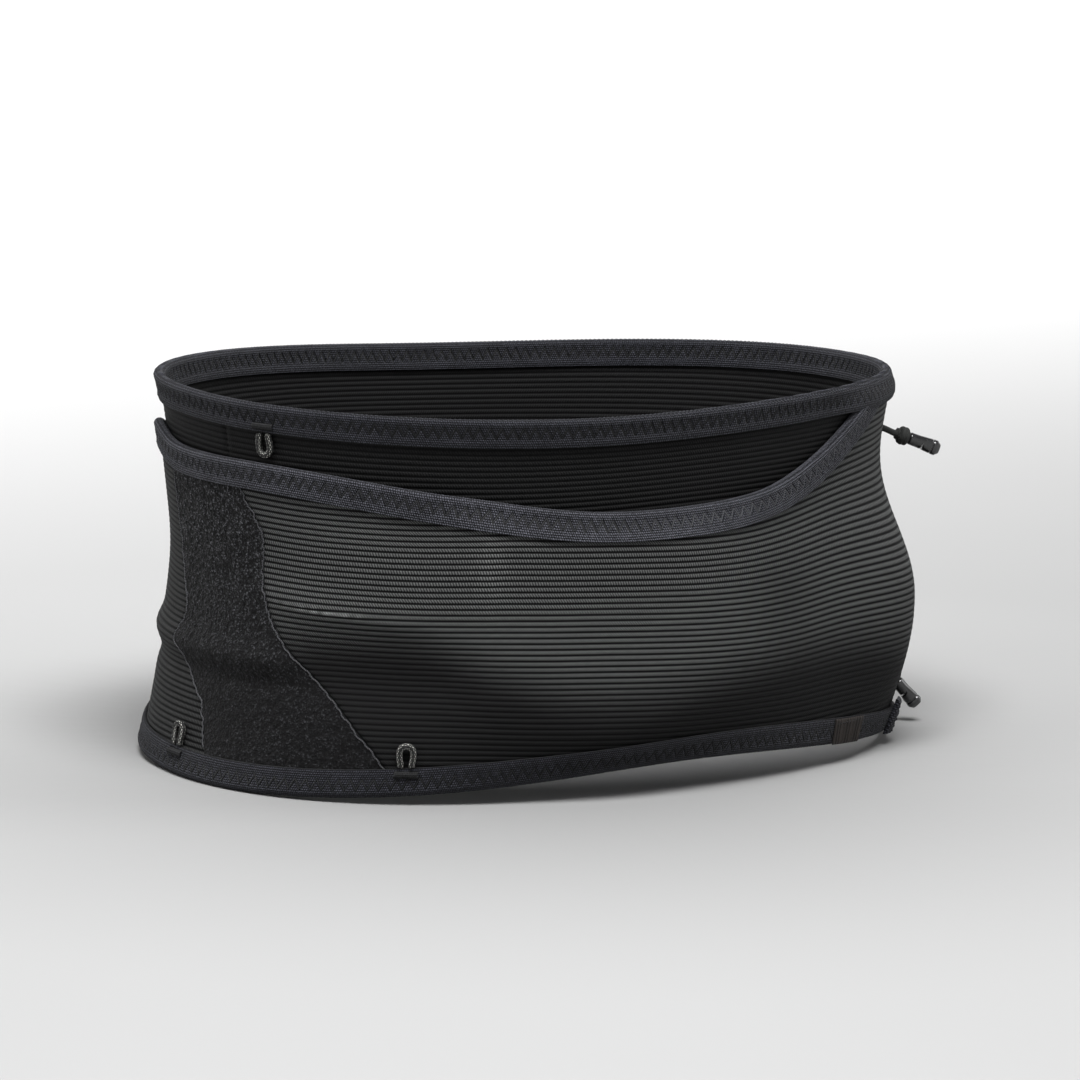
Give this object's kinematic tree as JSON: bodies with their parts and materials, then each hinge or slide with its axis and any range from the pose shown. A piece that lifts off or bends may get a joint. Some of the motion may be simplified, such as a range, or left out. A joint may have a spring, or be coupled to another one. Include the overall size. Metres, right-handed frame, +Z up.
{
  "type": "stretch waist belt",
  "caption": "Pull-on stretch-mesh waist belt with open-topped pockets, fold-over elastic edges, small cord loops and toggle hooks on elastic cord.",
  "frame": {"origin": "on the waist's axis at the belt's mid-height", "axes": "+Z up the wearer's body, +X to the wearer's right, +Y to the wearer's front; the back pocket faces -Y"},
  "size_m": [0.3194, 0.2329, 0.1452],
  "materials": {
    "rib_mesh": "ribbed stretch mesh",
    "napped_knit": "napped loop knit with grey flecks",
    "elastic_binding": "fold-over knitted elastic with zigzag stitching",
    "seam_thread": "polyester thread",
    "ribbon": "woven ribbon, blank",
    "tracer_cord": "round braided cord with pale tracer flecks",
    "elastic_cord": "round elastic cord",
    "hook_plastic": "gloss moulded plastic"
  },
  "bodies": {
    "belt": {"inner_band_back": "rib_mesh", "inner_band_front": "rib_mesh", "back_pocket": "rib_mesh", "front_pocket": "rib_mesh", "left_side_panel": "napped_knit", "top_binding": "elastic_binding", "bottom_binding": "elastic_binding", "pocket_mouth_binding": "elastic_binding", "right_seam_tape": "elastic_binding", "panel_rear_seam": "seam_thread", "panel_front_seam": "seam_thread", "label_tab": "ribbon", "binding_overlap": "elastic_binding", "bar_tacks": "seam_thread"},
    "upper_loop": {"upper_loop": "tracer_cord"},
    "lower_rear_loop": {"lower_rear_loop": "tracer_cord"},
    "lower_front_loop": {"lower_front_loop": "tracer_cord"},
    "upper_cord": {"upper_hook_cord": "elastic_cord"},
    "upper_hook": {"upper_hook_knot": "elastic_cord", "upper_hook": "hook_plastic"},
    "lower_cord": {"lower_hook_cord": "elastic_cord"},
    "lower_hook": {"lower_hook_knot": "elastic_cord", "lower_hook": "hook_plastic"}
  },
  "joints": [
    {"name": "upper_loop_flip", "type": "hinge", "parent": "belt", "child": "upper_loop", "pos_m": [-0.13753, -0.04074, 0.05648], "axis": [-0.4125, 0.9107, -0.0228], "range_deg": [0, 100], "stiffness_Nm_per_rad": 0.0002},
    {"name": "lower_rear_loop_flip", "type": "hinge", "parent": "belt", "child": "lower_rear_loop", "pos_m": [-0.10205, -0.08716, -0.05952], "axis": [0.8509, -0.5254, -0.0054], "range_deg": [0, 100], "stiffness_Nm_per_rad": 0.0002},
    {"name": "lower_front_loop_flip", "type": "hinge", "parent": "belt", "child": "lower_front_loop", "pos_m": [-0.15138, -0.00264, -0.06254], "axis": [0.0256, -0.9997, -0.0018], "range_deg": [0, 100], "stiffness_Nm_per_rad": 0.0002},
    {"name": "upper_hook_swing", "type": "hinge", "parent": "belt", "child": "upper_cord", "pos_m": [0.14127, -0.03525, 0.04397], "axis": [0.3447, 0.9387, 0], "range_deg": [-55, 45], "stiffness_Nm_per_rad": 0.004},
    {"name": "upper_hook_pull", "type": "slide", "parent": "upper_cord", "child": "upper_hook", "axis": [0.8821, -0.3239, -0.342], "range_m": [0, 0.012], "stiffness_N_per_m": 40, "deforming": ["upper_hook_cord"]},
    {"name": "lower_hook_swing", "type": "hinge", "parent": "belt", "child": "lower_cord", "pos_m": [0.14338, -0.03587, -0.04833], "axis": [0.3465, 0.938, 0], "range_deg": [-75, 15], "stiffness_Nm_per_rad": 0.004},
    {"name": "lower_hook_pull", "type": "slide", "parent": "lower_cord", "child": "lower_hook", "axis": [0.6277, -0.2319, -0.7431], "range_m": [0, 0.012], "stiffness_N_per_m": 40, "deforming": ["lower_hook_cord"]}
  ]
}
